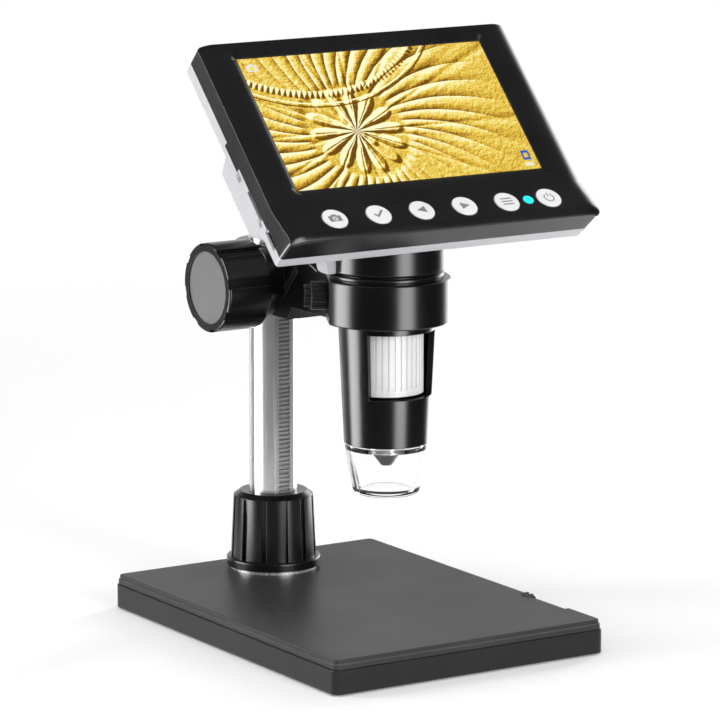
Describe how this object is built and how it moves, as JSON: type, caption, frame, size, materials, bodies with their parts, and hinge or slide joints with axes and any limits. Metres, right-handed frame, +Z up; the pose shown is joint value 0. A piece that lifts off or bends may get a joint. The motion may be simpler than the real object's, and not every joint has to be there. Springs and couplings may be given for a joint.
{
  "type": "lcd digital microscope",
  "caption": "Desk microscope with a tilted display head, focus wheel and clear nose cap on a geared column stand with a rectangular base.",
  "frame": {"origin": "centre of the base's footprint, on the surface that it stands on", "axes": "+X to the user's right, -Y towards the user, +Z up"},
  "size_m": [0.1202, 0.1442, 0.2036],
  "materials": {
    "satin_black": "satin",
    "gloss_black": "glossy",
    "shell_white": "satin",
    "key_white": "satin",
    "rubber": "matte",
    "steel": "brushed",
    "aluminium": "polished",
    "iron": "rough",
    "brass": "machined",
    "grey_disc": "satin",
    "clear": "clear",
    "screen": "lit",
    "board_green": "matte",
    "teal_light": "glowing",
    "lamp_white": "diffuse",
    "wheel_white": "satin"
  },
  "bodies": {
    "base": {"base_tray": "gloss_black", "base_plate": "satin_black", "base_ballast": "iron", "rubber_feet": "rubber", "base_screws": "steel", "column_socket": "aluminium", "column_bolt": "steel", "column": "aluminium", "gear_rack": "steel", "column_cap": "satin_black"},
    "nut": {"column_nut": "gloss_black"},
    "carriage": {"carriage": "gloss_black", "arm": "gloss_black"},
    "knobs": {"pinion": "brass", "knob_left": "gloss_black", "knob_right": "gloss_black", "knob_discs": "grey_disc"},
    "thumb": {"thumb_screw": "gloss_black"},
    "head": {"front_frame": "gloss_black", "rear_shell": "shell_white", "rear_screws": "steel", "display_panel": "screen", "display_frame": "steel", "main_board": "board_green", "battery": "grey_disc", "usb_socket": "steel", "card_socket": "steel", "key_board": "board_green", "key_switches": "satin_black", "indicator_light": "teal_light", "neck": "gloss_black", "bead_ring": "gloss_black", "barrel": "gloss_black", "wheel_seat": "satin_black", "light_board": "board_green", "lamps": "lamp_white", "sensor_board": "board_green"},
    "wheel": {"focus_wheel": "wheel_white"},
    "lens": {"lens_cell": "steel"},
    "nose": {"nose_cap": "clear"},
    "key_photo": {"key_photo": "key_white"},
    "key_confirm": {"key_confirm": "key_white"},
    "key_left": {"key_left": "key_white"},
    "key_right": {"key_right": "key_white"},
    "key_menu": {"key_menu": "key_white"},
    "key_power": {"key_power": "key_white"}
  },
  "joints": [
    {"name": "nut_turn", "type": "hinge", "parent": "base", "child": "nut", "pos_m": [0, 0.05287, 0.0263], "axis": [0, 0, 1], "range_deg": [0, 720]},
    {"name": "carriage_slide", "type": "slide", "parent": "base", "child": "carriage", "axis": [0, 0, 1], "range_m": [-0.032, 0.04]},
    {"name": "knob_turn", "type": "hinge", "parent": "carriage", "child": "knobs", "pos_m": [0, 0.0398, 0.1154], "axis": [1, 0, 0], "range_deg": [-400, 330]},
    {"name": "thumb_turn", "type": "hinge", "parent": "carriage", "child": "thumb", "pos_m": [0, -0.02, 0.1189], "axis": [-0.891, 0.454, 0], "range_deg": [0, 720]},
    {"name": "head_swivel", "type": "hinge", "parent": "carriage", "child": "head", "pos_m": [0, -0.02, 0.1175], "axis": [0, 0, 1], "range_deg": [-90, 90]},
    {"name": "focus_turn", "type": "hinge", "parent": "head", "child": "wheel", "pos_m": [0, -0.02, 0.097], "axis": [0, 0, 1], "range_deg": [-150, 150]},
    {"name": "lens_slide", "type": "slide", "parent": "head", "child": "lens", "axis": [0, 0, 1], "range_m": [-0.0024, 0.0024]},
    {"name": "nose_pull", "type": "slide", "parent": "head", "child": "nose", "axis": [0, 0, 1], "range_m": [-0.0065, 0]},
    {"name": "key_photo_press", "type": "slide", "parent": "head", "child": "key_photo", "axis": [0, -0.5383, 0.8427], "range_m": [-0.0005, 0], "stiffness_N_per_m": 800, "springref_m": 0.0005},
    {"name": "key_confirm_press", "type": "slide", "parent": "head", "child": "key_confirm", "axis": [0, -0.5383, 0.8427], "range_m": [-0.0005, 0], "stiffness_N_per_m": 800, "springref_m": 0.0005},
    {"name": "key_left_press", "type": "slide", "parent": "head", "child": "key_left", "axis": [0, -0.5383, 0.8427], "range_m": [-0.0005, 0], "stiffness_N_per_m": 800, "springref_m": 0.0005},
    {"name": "key_right_press", "type": "slide", "parent": "head", "child": "key_right", "axis": [0, -0.5383, 0.8427], "range_m": [-0.0005, 0], "stiffness_N_per_m": 800, "springref_m": 0.0005},
    {"name": "key_menu_press", "type": "slide", "parent": "head", "child": "key_menu", "axis": [0, -0.5383, 0.8427], "range_m": [-0.0005, 0], "stiffness_N_per_m": 800, "springref_m": 0.0005},
    {"name": "key_power_press", "type": "slide", "parent": "head", "child": "key_power", "axis": [0, -0.5383, 0.8427], "range_m": [-0.0005, 0], "stiffness_N_per_m": 800, "springref_m": 0.0005}
  ],
  "couplings": [
    {"joint": "knob_turn", "follows": "carriage_slide", "rad_per_m": -167.55},
    {"joint": "focus_turn", "follows": "lens_slide", "rad_per_m": 1050}
  ]
}
